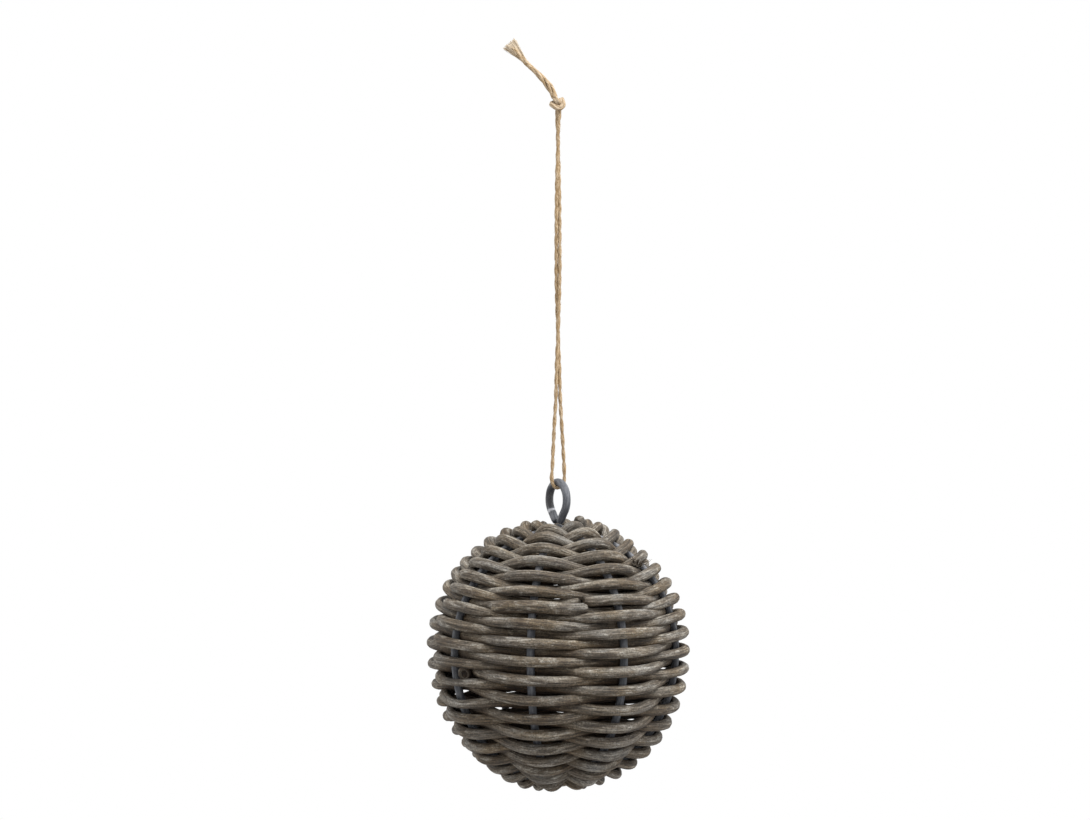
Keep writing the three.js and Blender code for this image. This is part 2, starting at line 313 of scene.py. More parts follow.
def beside_gaps(arc, azimuth):
    """How far the rows are pushed along the ribs beside the gaps, and what share of their thickness they
    lose."""
    shift = np.zeros_like(arc)
    thinner = np.zeros_like(arc)
    for gap_arc, gap_azimuth, push in GAPS:
        beside = (azimuth - gap_azimuth + math.pi) % (2 * math.pi) - math.pi
        below = arc - gap_arc
        near = np.exp(-(below / GAP_HALF_HEIGHT) ** 2 - (beside / GAP_HALF_ANGLE) ** 2)
        shift += push * np.tanh(below / GAP_SHARPNESS) * near
        thinner += (push + GAP_EASE) * GAP_THINNING * near
    return shift, thinner


def row_shift(even_arc, azimuth):
    """How far down the ribs a row lies from its even place, because the rows aren't level all round."""
    back = BACK_SHIFT + BACK_WAVE * np.sin(2 * math.pi * even_arc / BACK_WAVE_LENGTH)
    side = SIDE_WAVE * np.sin(2 * math.pi * (even_arc - SIDE_WAVE_START) / SIDE_WAVE_LENGTH)
    back = (back + side * np.sin(azimuth)) * (1 - np.cos(azimuth)) / 2
    front = FRONT_DROP * np.exp(-((even_arc - FRONT_DROP_ARC) / FRONT_DROP_REACH) ** 2)
    front = front * np.clip(np.cos(azimuth - FRONT_DROP_AZIMUTH), 0, 1) ** 2
    lift_wave = np.cos(2 * math.pi * (even_arc - RIGHT_LIFT_ARC) / RIGHT_LIFT_LENGTH)
    right = RIGHT_LIFT * (1 + RIGHT_LIFT_SWING * lift_wave)
    right = right * np.clip(np.sin(azimuth), 0, 1) ** RIGHT_LIFT_NARROWNESS
    shift = back + front - right
    return shift * smooth_step(even_arc, *LEVEL_TOP) * (1 - smooth_step(even_arc, *LEVEL_BOTTOM))


def weave_path(weaver, turns):
    """The centre line of a weaver and the frame round it."""
    azimuth = FIRST_RIB + 2 * math.pi * turns
    wave = weaver["side"] * np.cos(RIB_COUNT / 2 * 2 * math.pi * turns)
    even_arc = weaver["first_row"] + TURN_PITCH * turns
    phase = 2 * math.pi * (even_arc - DRIFT_TOP) / DRIFT_LENGTH
    arc = even_arc + DRIFT * (np.cos(phase) - DRIFT_MEAN) + ROW_WANDER * wander(turns, weaver["seed"])
    arc = arc + row_shift(even_arc, azimuth)
    shift, thinner = beside_gaps(arc, azimuth)
    arc = arc + shift
    spread = 1 - 2 * math.pi * DRIFT / DRIFT_LENGTH * np.sin(phase)
    point, down, out = on_surface(arc, azimuth)
    hub = np.minimum(even_arc - WEAVE_START, WEAVE_END - even_arc)
    from_hub = smooth_step(hub, 0, HUB_TAPER)
    reach = np.where(wave > 0, OUTSIDE_REACH, INSIDE_REACH) * (HUB_REACH + (1 - HUB_REACH) * from_hub)
    reach = reach * (1 + REACH_WANDER * wander(turns, weaver["seed"] + 1, (1.1, 2.7, 5.2)))
    lower = 1 - LOWER_THINNING * smooth_step(even_arc, *LOWER_ROWS)
    on_right = FULLER_CROWN_LEFT + (1 - FULLER_CROWN_LEFT) * np.clip(np.sin(azimuth), 0, 1)
    crown = FULLER_CROWN * (1 - smooth_step(even_arc, *FULLER_CROWN_FADE)) * on_right
    return {
        "centre": point + out * (reach * wave + crown)[:, None],
        "down": down, "out": out, "wave": wave, "spread": spread,
        "grown": (HUB_THICKNESS + (1 - HUB_THICKNESS) * from_hub) * (1 - thinner) * lower,
    }


SAMPLES_PER_TURN = 1200
STRAND_STEP = 0.7 * MM
STRAND_SIDES = 24
CROSSING_OVERLAP = 1.15  # neighbouring rows press into each other between two ribs
CROSSING_DEPTH = 0.05  # and are this share deeper there
STRAND_FULLNESS = 1.01
THICKNESS_WANDER = 0.08
KNUCKLES_PER_TURN = 4  # the swellings of the natural stem
KNUCKLE_SWELL = 0.04, 0.10
KNUCKLE_LENGTH = 1.6  # mm
TIP_ROUNDING = 0.22
TIP_LENGTH = 0.9 * MM
LUMP_SWELL = 0.034
RIDGE_SWELL = 0.06
# painted shade with the wear: outer faces and outer rows are painted paler, inner faces, undersides and inner
# rows darker
OUTER_FACE_WEAR_AND_SHADE = 0.26
UNDERSIDE_SHADE = 0.22
OUTER_ROW_WEAR_AND_SHADE = 0.36
PAINTED_TOP_LIGHT = 0.56  # painted light: the top of the ball is painted paler and its underside darker
PAINTED_TOP_LIGHT_CURVE = 1.7
PAINTED_LOW_SHADE = 0.27


def rattan_length(node, letter, first, last, start=(0, 0, 1), end=(0, 0, 1), bulges=()):
    """One length of rattan between two turns of its weaver. start and end say how far its tips are pushed
    out and down, in mm, and over how many mm. A bulge is a turn, how much thicker it is there, and over
    how many mm."""
    weaver = WEAVERS[letter]
    fine = np.linspace(first, last, max(8, int((last - first) * SAMPLES_PER_TURN)))
    path = weave_path(weaver, fine)
    centre = path["centre"]
    travelled = running_length(centre)
    for (out_mm, down_mm, over_mm), distance in ((start, travelled), (end, travelled[-1] - travelled)):
        push = (np.clip(1 - distance / (over_mm * MM), 0, 1) ** 2)[:, None]
        centre = centre + push * (path["out"] * out_mm + path["down"] * down_mm) * MM
    travelled = running_length(centre)
    steps = int(travelled[-1] / STRAND_STEP)
    at = np.linspace(0, travelled[-1], steps + 1)

    def along(values):
        if values.ndim == 1:
            return np.interp(at, travelled, values)
        return np.stack([np.interp(at, travelled, values[:, k]) for k in range(3)], axis=-1)

    centre = along(centre)
    tangent = unit(np.gradient(centre, axis=0))
    down = along(path["down"])
    down = unit(down - tangent * np.sum(down * tangent, axis=1)[:, None])
    out = np.cross(down, tangent)
    if np.sum(out * along(path["out"])) < 0:
        out = -out
    outward = along(path["wave"])
    over_rib = np.abs(outward)
    turns = along(fine)
    grown = along(path["grown"])
    uneven = wander(turns, weaver["seed"] + 2, (1.7, 4.1, 9.7))
    thickness = grown * (STRAND_FULLNESS + THICKNESS_WANDER * uneven)
    draw = random.Random(node)
    knuckles = [
        (draw.uniform(first, last), draw.uniform(*KNUCKLE_SWELL), KNUCKLE_LENGTH)
        for _ in range(int(KNUCKLES_PER_TURN * (last - first)))
    ]
    for turn, amount, over_mm in [*bulges, *knuckles]:
        away = at - np.interp(turn, turns, at)
        thickness = thickness * (1 + amount * np.exp(-(away / (over_mm * MM)) ** 2))
    end_distance = np.minimum(at, at[-1] - at)
    thickness = thickness * (1 - TIP_ROUNDING * (1 - smooth_step(end_distance, 0, TIP_LENGTH)))
    squeezed = TURN_PITCH / 2 * along(path["spread"]) * CROSSING_OVERLAP
    height = thickness * (over_rib * STRAND_DIAMETER + (1 - over_rib) * squeezed) / 2
    height = height * (1 + INSIDE_SWELL * np.clip(-outward, 0, 1))
    depth = thickness * STRAND_DIAMETER / 2 * (1 + CROSSING_DEPTH - CROSSING_DEPTH * over_rib)
    offset = draw.uniform(0, 1000)  # so that no two lengths have the same grain
    # painted light from above: paler high on the ball, darker low on it
    height_share = smooth_step(centre[:, 2], WIDEST_Z - RIB_DROP, WIDEST_Z + RIB_RISE)
    top_light_and_low_shade = PAINTED_TOP_LIGHT * height_share ** PAINTED_TOP_LIGHT_CURVE - PAINTED_LOW_SHADE

    def place(angle, step):
        straight = straight_tube(angle, STRAND_DIAMETER / 2, at[step]) + np.array([0, 0, offset])
        lumps = unevenness(straight, 0.8, 0.12) + 0.45 * unevenness(straight, 1.9, 0.5)
        ridges = unevenness(straight, 1.6, 0.045)
        swell = 1 + LUMP_SWELL * lumps + RIDGE_SWELL * ridges
        across = np.cos(angle) * depth[step] * swell
        upward = np.sin(angle) * height[step] * swell
        places = centre[step] + out[step] * across[:, None] + down[step] * upward[:, None]
        # painted light and shade with the wear: paler on outer and upper faces and high on the ball, darker
        # on inner faces, undersides, inner rows and low on the ball
        wear_and_shade = 0.5 + OUTER_FACE_WEAR_AND_SHADE * np.cos(angle) - UNDERSIDE_SHADE * np.sin(angle)
        wear_and_shade = wear_and_shade + OUTER_ROW_WEAR_AND_SHADE * outward[step] + top_light_and_low_shade[step]
        return places, straight, np.clip(wear_and_shade, 0, 1)

    bm = bmesh.new()
    rolled_tube(bm, STRAND_SIDES, steps, place)
    bmesh.ops.recalc_face_normals(bm, faces=bm.faces)
    hollow_ends(bm)
    stand_for(finished(node.replace("rattan", "weaver"), bm, RATTAN), node)


BARK_THICKNESS = 0.75 * MM
BARK_WEAR = 0.8
PITH_SLOPE = 0.12 * MM
PITH_DEPTH = 0.9 * MM
PITH_WEAR = 0.05


def hollow_ends(bm):
    """Sinks the dark pith into both cut ends of a length of rattan."""
    straight, worn = finish_layers(bm)
    bark, pith = (BARK_THICKNESS, 0, BARK_WEAR), (PITH_SLOPE, -PITH_DEPTH, PITH_WEAR)
    for cap in [face for face in bm.faces if len(face.verts) > 4]:
        rim = cap.verts[0][straight].copy()
        for thickness, depth, exposed in (bark, pith):
            bmesh.ops.inset_region(bm, faces=[cap], thickness=thickness, depth=depth)
            for vertex in cap.verts:
                vertex[straight] = rim + vertex.co / MM
                vertex[worn] = exposed


def splinters(azimuth, arc, count, seed):
    """A break in an outer strand, where its fibres have sprung loose."""
    draw = random.Random(seed)
    point, down, out = (values[0] for values in on_surface(np.array([arc]), np.array([azimuth])))
    sideways = np.cross(down, out)
    bm = bmesh.new()
    for number in range(count):
        root = point + (
            out * draw.uniform(1.7, 3.0) + sideways * draw.uniform(-2.6, 2.6) + down * draw.uniform(-1.3, 1.3)
        ) * MM
        direction = (
            sideways * draw.choice((-1, 1)) + down * draw.uniform(-0.6, 0.6) + out * draw.uniform(0.1, 0.9)
        )
        hair(
            bm, root, direction, draw.uniform(1.8, 4.8) * MM, draw.uniform(0.12, 0.28) * MM,
            (draw.uniform(-0.3, 0.3), draw.uniform(-0.3, 0.3)), seed + number,
            draw.choice((0.0, 0.4, 1.0, 1.0)),
        )
    bmesh.ops.recalc_face_normals(bm, faces=bm.faces)
    piece = finished("split_strand", bm, RATTAN)
    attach(piece, "root")


def turn_at(letter, even_arc):
    """The turn of a weaver at which it is an even arc from the top."""
    return (even_arc - WEAVERS[letter]["first_row"]) / TURN_PITCH


def weave():
    """The eight lengths of rattan, from the turn where each starts to the turn where it ends."""
    last = {letter: turn_at(letter, WEAVE_END) for letter in "ab"}
    rattan_length(
        "rattan_a1", "a", -0.80, 6.075, start=(2.3, 0, 8), end=(2.4, -0.5, 16),
        bulges=((1.008, 0.16, 2.2), (6.04, 0.22, 14)),
    )
    rattan_length(
        "rattan_a2", "a", 5.94, 9.905, start=(-0.6, 1.4, 40), end=(4.6, 0.9, 6), bulges=((9.905, 0.5, 4),),
    )
    rattan_length("rattan_a3", "a", 9.90, 14.46, start=(-1.2, 0, 8), end=(0, -0.5, 10))
    rattan_length("rattan_a4", "a", 14.42, last["a"], start=(-1.5, 0.8, 8))
    rattan_length("rattan_b1", "b", turn_at("b", WEAVE_START), 6.066, end=(0.6, 0.2, 6))
    rattan_length("rattan_b2", "b", 6.071, 10.58, start=(1.3, 0, 7), end=(0, -0.5, 10))
    rattan_length("rattan_b3", "b", 10.54, 15.08, start=(-1.5, 0.8, 8), end=(0, -0.5, 10))
    rattan_length("rattan_b4", "b", 15.04, last["b"], start=(-1.5, 0.8, 8))


# ---- The wire frame ---------------------------------------------------------------------------------

RIB_STEPS = 96
RIB_SIDES = 14
RIB_INSET = 1.5 * MM  # of a rib's ends from the poles, inside the welds
RIB_WEAR_AND_HIGHLIGHT = 0.25  # worn paint and a painted highlight: the ribs' outer faces are pale near the top, where the weave leaves them open
RIB_WEAR_AND_HIGHLIGHT_FADE = 34 * MM, 52 * MM
RIB_PATTERN_SHIFT = 300  # mm, so that no two ribs are worn alike
UNWORN = 0.5


def rib(number):
    azimuth = FIRST_RIB + (number - 1) * 2 * math.pi / RIB_COUNT
    reach = np.linspace(RIB_INSET, RIB_LENGTH - RIB_INSET, RIB_STEPS + 1)
    centre, down, out = on_surface(reach, np.full_like(reach, azimuth))
    sideways = np.array([math.cos(azimuth), math.sin(azimuth), 0.0])

    def place(angle, step):
        radius = WIRE_DIAMETER / 2
        straight = straight_tube(angle, radius, reach[step]) + np.array([0, 0, RIB_PATTERN_SHIFT * number])
        around = out[step] * np.cos(angle)[:, None] + sideways * np.sin(angle)[:, None]
        # worn paint and a painted highlight on the outer face, near the top
        worn = RIB_WEAR_AND_HIGHLIGHT * (1 - smooth_step(reach[step], *RIB_WEAR_AND_HIGHLIGHT_FADE)) * np.clip(np.cos(angle), 0, 1)
        return centre[step] + radius * around, straight, UNWORN + worn

    bm = bmesh.new()
    rolled_tube(bm, RIB_SIDES, RIB_STEPS, place)
    bmesh.ops.recalc_face_normals(bm, faces=bm.faces)
    stand_for(finished(f"rib_wire_{number}", bm, PAINTED_WIRE), f"frame_rib_{number}")


def roughen(bm, scale, amount, seed):
    """Smooth unevenness in all directions. noise_vector differs from run to run unless it is seeded."""
    noise.seed_set(seed)
    for vertex in bm.verts:
        shift = noise.noise_vector(vertex.co * scale + Vector((seed, 0, 0)))
        vertex.co += shift * amount


def weld(name, node, half_size, shift, seed):
    """A lump of weld metal under its paint, about the middle of its CAD node."""
    low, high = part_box(node)
    bm = bmesh.new()
    bmesh.ops.create_icosphere(bm, subdivisions=5, radius=1.0)
    bmesh.ops.scale(bm, verts=bm.verts, vec=Vector(half_size) * MM)
    roughen(bm, 260, 1.1 * MM, seed)
    roughen(bm, 900, 0.3 * MM, seed + 7)
    bmesh.ops.translate(bm, verts=bm.verts, vec=(low + high) / 2 + Vector(shift) * MM)
    straight, worn = finish_layers(bm)
    for vertex in bm.verts:
        vertex[straight] = vertex.co / MM
        vertex[worn] = UNWORN
    stand_for(finished(name, bm, PAINTED_WIRE), node)


RING_SIDES = 20
RING_STEPS = 110
RING_BEND_END = math.radians(130)  # from the top, where the wire runs straight down to its joint
RING_JOINT = 1.5 * MM  # from the axis to each end of the wire
RING_PATTERN_SHIFT = 40.0  # mm
RING_DENTS = 0.025
RING_TIP_ROUNDING = 0.12
RING_TIP_LENGTH = 1.2 * MM
RING_FAR_LEG = 0.30, 0.46  # share of the wire over which its far leg ends
RING_BAND_START = 0.095, 0.115  # the wire is bare in a band near its foot
RING_BAND_END = 0.12, 0.16
RING_BAND_RAGGED = 0.5 * MM
RING_BAND_WEAR = 0.75
RING_FOOT = 0.05, 0.12
RING_FOOT_WEAR = 0.12
RING_GRIME_AND_SHADE = 0.27  # the far leg is grimy, and painted shade darkens it most on its inner side


def ring_route():
    """The middle of the ring's wire in its own plane, from its left end over the top to its right end."""
    middle_radius = RING_OUTER_RADIUS - RING_WIRE_RADIUS
    bend = np.linspace(-RING_BEND_END, RING_BEND_END, 200)
    across = middle_radius * np.sin(bend)
    height = middle_radius * np.cos(bend)
    reach = (across[-1] - RING_JOINT) / -math.cos(RING_BEND_END)
    foot = height[-1] - reach * math.sin(RING_BEND_END)
    across = np.concatenate([[-RING_JOINT], across, [RING_JOINT]])
    height = np.concatenate([[foot], height, [foot]])
    travelled = np.concatenate([[0], np.cumsum(np.hypot(np.diff(across), np.diff(height)))])
    at = np.linspace(0, travelled[-1], RING_STEPS + 1)
    return at, np.interp(at, travelled, across), np.interp(at, travelled, height)


def hanging_ring():
    at, across, height = ring_route()
    plane = np.array([math.cos(RING_TURN), math.sin(RING_TURN), 0.0])
    normal = np.array([-math.sin(RING_TURN), math.cos(RING_TURN), 0.0])
    centre = np.array(RING_CENTRE) + plane * across[:, None] + UP * height[:, None]
    tangent = unit(np.gradient(centre, axis=0))
    outward = np.cross(tangent, normal)
    length = at[-1]

    def place(angle, step):
        straight = straight_tube(angle, RING_WIRE_RADIUS, at[step]) + np.array([0, 0, RING_PATTERN_SHIFT])
        dents = unevenness(straight, 0.7, 0.3)
        end = np.minimum(at[step], length - at[step])
        tip = 1 - smooth_step(end, 0, RING_TIP_LENGTH)
        radius = RING_WIRE_RADIUS * (1 + RING_DENTS * dents) * (1 - RING_TIP_ROUNDING * tip)
        places = centre[step] + radius[:, None] * (
            outward[step] * np.cos(angle)[:, None] + normal * np.sin(angle)[:, None]
        )
        share = at[step] / length
        ragged = (at[step] + RING_BAND_RAGGED * unevenness(straight, 1.1, 0.9)) / length
        far_leg = 1 - smooth_step(share, *RING_FAR_LEG)
        band = smooth_step(ragged, *RING_BAND_START) * (1 - smooth_step(ragged, *RING_BAND_END))
        foot = 1 - smooth_step(share, *RING_FOOT)
        # grime with painted shade: the far leg is darkened, most on its inner side
        grime_and_shade = RING_GRIME_AND_SHADE * far_leg * (0.7 - 0.3 * np.cos(angle)) * (1 - 0.8 * foot)
        worn = UNWORN - grime_and_shade + RING_BAND_WEAR * band + RING_FOOT_WEAR * foot
        return places, straight, np.clip(worn, 0, 1)

    bm = bmesh.new()
    rolled_tube(bm, RING_SIDES, RING_STEPS, place)
    bmesh.ops.recalc_face_normals(bm, faces=bm.faces)
    stand_for(finished("ring_wire", bm, PAINTED_WIRE), "hanging_ring")


# ---- The twine --------------------------------------------------------------------------------------

# The loop, in mm, from the underside of the knot down one leg, round the top of the ring and back up the
# other. The legs wind round each other and part just above the ring.
LOOP_ROUTE = [
    (-0.45, 0.78, -0.5),
    (-0.2, 0.88, -5),
    (0.0, 0.9, -12.8),
    (0.3, 0.76, -21),
    (0.48, 0.56, -29),
    (0.6, 0.34, -37.5),
    (0.65, 0.12, -45.7),
    (0.67, -0.12, -56),
    (0.62, -0.38, -66),
    (0.34, -0.72, -76),
    (0.0, -0.84, -86.4),
    (-0.45, -0.6, -96),
    (-0.7, -0.1, -106),
    (-0.88, -0.05, -112),
    (-1.36, -0.25, -120),
    (-1.85, -0.75, -130),
    (-2.2, -1.15, -138),
    (-2.3, -1.3, -143.1),
    (-1.65, -0.95, -144.95),
    (0.0, 0.0, -145.6),
    (1.65, 0.95, -144.95),
    (2.3, 1.3, -143.1),
    (2.35, 1.2, -138),
    (1.95, 0.78, -130),
    (1.34, 0.25, -120),
    (0.88, 0.05, -112),
    (0.7, 0.1, -106),
    (0.45, 0.6, -96),
    (0.0, 0.84, -86.4),
    (-0.34, 0.72, -76),
    (-0.62, 0.38, -66),
    (-0.67, 0.12, -56),
    (-0.65, -0.12, -45.7),
    (-0.6, -0.34, -37.5),
    (-0.48, -0.56, -29),
    (-0.3, -0.76, -21),
    (0.0, -0.9, -12.8),
    (0.2, -0.88, -5),
    (0.45, -0.78, -0.5),
]

# The doubled twine through the overhand knot, and beyond it
KNOT_ROUTE = [
    (0.1, 0.0, -0.5),
    (0.1, 0.3, 0.8),
    (0.3, 0.9, 2.2),
    (0.9, 0.9, 3.9),
    (1.4, 0.1, 4.7),
    (1.8, -0.8, 3.6),
    (1.7, -1.2, 2.3),
    (0.8, -1.6, 1.4),
    (-0.7, -1.6, 1.7),
    (-1.8, -1.0, 2.5),
    (-2.4, 0.1, 3.2),
    (-1.4, 1.0, 3.4),
    (0.0, 0.8, 3.1),
    (0.4, -0.5, 3.2),
    (-0.2, -1.4, 4.0),
    (-1.3, -1.1, 5.4),
]

TAIL_ROUTE = [
    (-1.3, -1.1, 5.4),
    (-2.2, -0.7, 7.8),
    (-3.6, -0.4, 10.1),
    (-6.8, -0.3, 13.8),
    (-10.9, -0.2, 17.7),
    (-14.5, 0.0, 21.4),
    (-17.6, 0.2, 25.0),
]


class Route:
    """A smooth line through points in mm, resampled at even steps, with a frame that doesn't twist."""

    def __init__(self, points, spacing):
        points = np.array(points, float) * MM
        knots = running_length(points)
        slopes = np.gradient(points, knots, axis=0)
        fine = np.linspace(0, knots[-1], 40 * len(points))
        cell = np.clip(np.searchsorted(knots, fine, side="right") - 1, 0, len(points) - 2)
        width = (knots[cell + 1] - knots[cell])[:, None]
        t = (fine - knots[cell])[:, None] / width
        line = (
            (2 * t**3 - 3 * t**2 + 1) * points[cell] + (t**3 - 2 * t**2 + t) * width * slopes[cell]
            + (3 * t**2 - 2 * t**3) * points[cell + 1] + (t**3 - t**2) * width * slopes[cell + 1]
        )
        travelled = running_length(line)
        self.length = travelled[-1]
        self.steps = max(2, int(self.length / spacing))
        self.at = np.linspace(0, self.length, self.steps + 1)
        self.centre = np.stack([np.interp(self.at, travelled, line[:, k]) for k in range(3)], axis=-1)
        self.tangent = unit(np.gradient(self.centre, axis=0))
        side = np.cross(self.tangent[0], UP if abs(self.tangent[0][2]) < 0.9 else np.array([0.0, 1.0, 0.0]))
        sides = [side / np.linalg.norm(side)]
        for tangent in self.tangent[1:]:
            side = sides[-1] - tangent * np.dot(sides[-1], tangent)
            sides.append(side / np.linalg.norm(side))
        self.side = np.array(sides)
        self.other = np.cross(self.tangent, self.side)


PLY_RADIUS = 0.52 * MM
PLY_OFFSET = 0.25 * MM
PLY_SIDES = 10
PLY_LUMPS = 0.16
FIBRE_LAY = 6 * MM  # length of one turn of the fibres round their ply
TWINE_STEP = 0.45 * MM


def ply(bm, route, phase, seed, offset=PLY_OFFSET, radius=PLY_RADIUS, shift=None, paler=0.0):
    """One ply of a twine that winds round a route. shift moves it aside, as in a doubled twine."""
    twist = phase + 2 * math.pi * route.at / TWINE_LAY
    centre = route.centre + offset * (
        route.side * np.cos(twist)[:, None] + route.other * np.sin(twist)[:, None]
    )
    if shift is not None:
        centre = centre + shift
    tangent = unit(np.gradient(centre, axis=0))
    side = unit(route.side - tangent * np.sum(route.side * tangent, axis=1)[:, None])
    other = np.cross(tangent, side)
    uneven = 1 + 0.10 * wander(route.at / (9 * MM), seed)

    def place(angle, step):
        # the fibres run round the ply, so the pattern is turned with the distance
        turned = angle + 2 * math.pi * route.at[step] / FIBRE_LAY
        straight = straight_tube(turned, radius, route.at[step])
        lumps = unevenness(straight, 2.6, 0.5, seed)
        reach = radius * uneven[step] * (1 + PLY_LUMPS * lumps)
        places = centre[step] + reach[:, None] * (
            side[step] * np.cos(angle)[:, None] + other[step] * np.sin(angle)[:, None]
        )
        # painted shade and light: the hollows between lumps are painted darker and the tops of lumps paler
        wear_and_shade = 0.5 + paler + 0.4 * lumps
        return places, straight + np.array([0, 0, 100.0 * seed]), np.clip(wear_and_shade, 0, 1)

    rolled_tube(bm, PLY_SIDES, route.steps, place)


HAIR_STEPS = 4
HAIR_SIDES = 3
HAIR_TAPER = 0.75
HAIR_RADIUS = 0.022 * MM


def hair(bm, root, direction, length, radius, curl, seed, wear_and_shade=0.85):
    """A loose fibre: a thin tapered tube that bends away."""
    along = np.linspace(0, 1, HAIR_STEPS + 1)
    direction = unit(np.array(direction, float))
    side = unit(np.cross(direction, [0.31, 0.52, 0.79]))
    other = np.cross(direction, side)
    line = direction * along[:, None]
    line = line + side * (curl[0] * along**2)[:, None] + other * (curl[1] * along**2)[:, None]
    centre = np.array(root) + length * line

    def place(angle, step):
        reach = radius * (1 - HAIR_TAPER * along[step])
        places = centre[step] + reach[:, None] * (
            side * np.cos(angle)[:, None] + other * np.sin(angle)[:, None]
        )
        straight = straight_tube(angle, 0.1 * MM, along[step] * length) + np.array([0, 0, seed])
        return places, straight, np.full_like(angle, wear_and_shade)

    rolled_tube(bm, HAIR_SIDES, HAIR_STEPS, place)


def hairs_on(bm, route, count, longest, seed):
    """Loose fibres that stand off a twine."""
    draw = random.Random(seed)
    for number in range(count):
        step = draw.randrange(2, route.steps - 2)
        angle = draw.uniform(0, 2 * math.pi)
        outward = route.side[step] * math.cos(angle) + route.other[step] * math.sin(angle)
        root = route.centre[step] + outward * PLY_RADIUS * 1.2
        lean = draw.choice((-1, 1)) * draw.uniform(0.8, 2.2)
        direction = outward * draw.uniform(0.25, 0.7) + route.tangent[step] * lean
        hair(
            bm, root, direction, longest * draw.uniform(0.35, 1), HAIR_RADIUS * draw.uniform(0.8, 1.4),
            (draw.uniform(-0.3, 0.3), draw.uniform(-0.3, 0.3)), seed + number,
        )


ROPE_PLIES = 4  # of both twines together
ROPE_LAY = 22 * MM
ROPE_PLY_OFFSET = 0.06 * MM
ROPE_PLY_RADIUS = PLY_RADIUS * 1.12
ROPE_RADIUS = 0.7 * MM
ROPE_SPREAD = 0.58  # mm, of the plies from the middle
LEG_TOPS = [(-0.2, 0.5, 0.9)], [(0.2, -0.5, 0.9)]  # where the loop's legs run on into the knot


def rope(bm, route, spread, seed, paler=0.12):
    """Both twines of the loop laid together, as they go through the knot and into the tail."""
    for number in range(ROPE_PLIES):
        turn = 2 * math.pi * (number / ROPE_PLIES + route.at / ROPE_LAY)
        shift = spread[:, None] * (route.side * np.cos(turn)[:, None] + route.other * np.sin(turn)[:, None])
        ply(bm, route, number, seed + number, ROPE_PLY_OFFSET, ROPE_PLY_RADIUS, shift, paler)


def twine():
    """The loop, the knot and the tail of the twine."""
    loop_route = Route(LEG_TOPS[0] + LOOP_ROUTE + LEG_TOPS[1], TWINE_STEP)
    bm = bmesh.new()
    for number in range(2):
        ply(bm, loop_route, math.pi * number, 40 + number)
    hairs_on(bm, loop_route, count=170, longest=2.6 * MM, seed=5)
    bmesh.ops.recalc_face_normals(bm, faces=bm.faces)
    loop = finished("loop_of_twine", bm, JUTE)

    knot_route = Route(KNOT_ROUTE, 0.3 * MM)
    bm = bmesh.new()
    rope(bm, knot_route, np.full_like(knot_route.at, ROPE_SPREAD * MM), 50, paler=0.22)
    hairs_on(bm, knot_route, count=26, longest=2.0 * MM, seed=6)
    bmesh.ops.recalc_face_normals(bm, faces=bm.faces)
    knot = finished("overhand_knot", bm, JUTE)

    tail = twine_tail()
    for piece, node in ((loop, "twine_loop"), (knot, "twine_knot"), (tail, "twine_tail")):
        stand_for(piece, node)


FRAY_START = 0.70  # share of the tail where its plies open into loose fibres
FRAY_HALF_WIDTH = 3.0 * MM
FRAY_HALF_DEPTH = 1.0 * MM
FRAY_FIBRES = 260
FRAY_RADIUS = 0.17 * MM
CORE_SIDES = 28
CORE_STEPS = 14


def twine_tail():
    route = Route(TAIL_ROUTE, 0.35 * MM)
    bm = bmesh.new()
    share = route.at / route.length
    # the plies spring apart above the knot and draw together before they fray
    spread = ROPE_SPREAD + 0.28 * smooth_step(share, 0, 0.12) - 0.38 * smooth_step(share, 0.2, 0.6)
    rope(bm, route, spread * MM, 60)
    fray(bm, route)
    hairs_on(bm, route, count=16, longest=2.0 * MM, seed=7)
    bmesh.ops.recalc_face_normals(bm, faces=bm.faces)
    return finished("frayed_tail", bm, JUTE)


def fray(bm, route):
    """The open end: fibres fan out of the last stretch, round a flat core, and are cut square."""
    draw = random.Random(17)
    last = route.steps
    first = int(FRAY_START * route.steps)
    ahead = route.tangent[last]
    flat = unit(np.array([ahead[2], 0.0, -ahead[0]]))
    deep = np.cross(ahead, flat)

    def core(angle, step):
        share = smooth_step(step / CORE_STEPS, 0, 1.2)
        middle = route.centre[first] + (route.centre[last] + 1.5 * MM * ahead - route.centre[first]) * (
            step / CORE_STEPS
        )[:, None]
        wide = ROPE_RADIUS + (0.92 * FRAY_HALF_WIDTH - ROPE_RADIUS) * share
        thick = ROPE_RADIUS + (0.85 * FRAY_HALF_DEPTH - ROPE_RADIUS) * share
        places = middle + flat * (wide * np.cos(angle))[:, None] + deep * (thick * np.sin(angle))[:, None]
        straight = np.stack([wide * np.cos(angle), thick * np.sin(angle), 0.4 * MM * step], axis=-1) / MM
        return places, straight, 0.6 + 0.3 * step / CORE_STEPS

    rolled_tube(bm, CORE_SIDES, CORE_STEPS, core)
    for number in range(FRAY_FIBRES):
        across = draw.uniform(-1, 1)
        depth = draw.uniform(-1, 1) * math.sqrt(1 - 0.8 * across * across)
        step = draw.randrange(first, last - 3)
        root = route.centre[step] + ROPE_RADIUS * (flat * across + deep * depth * 0.8)
        tip = (
            route.centre[last] + flat * across * FRAY_HALF_WIDTH + deep * depth * FRAY_HALF_DEPTH
            + ahead * draw.uniform(1.4, 2.6) * MM
        )
        reach = tip - root
        hair(
            bm, root, reach, float(np.linalg.norm(reach)), FRAY_RADIUS * draw.uniform(0.7, 1.3),
            (draw.uniform(-0.04, 0.04), draw.uniform(-0.04, 0.04)), number * 3.1, draw.uniform(0.7, 1.0),
        )


# ---- Finishes ---------------------------------------------------------------------------------------

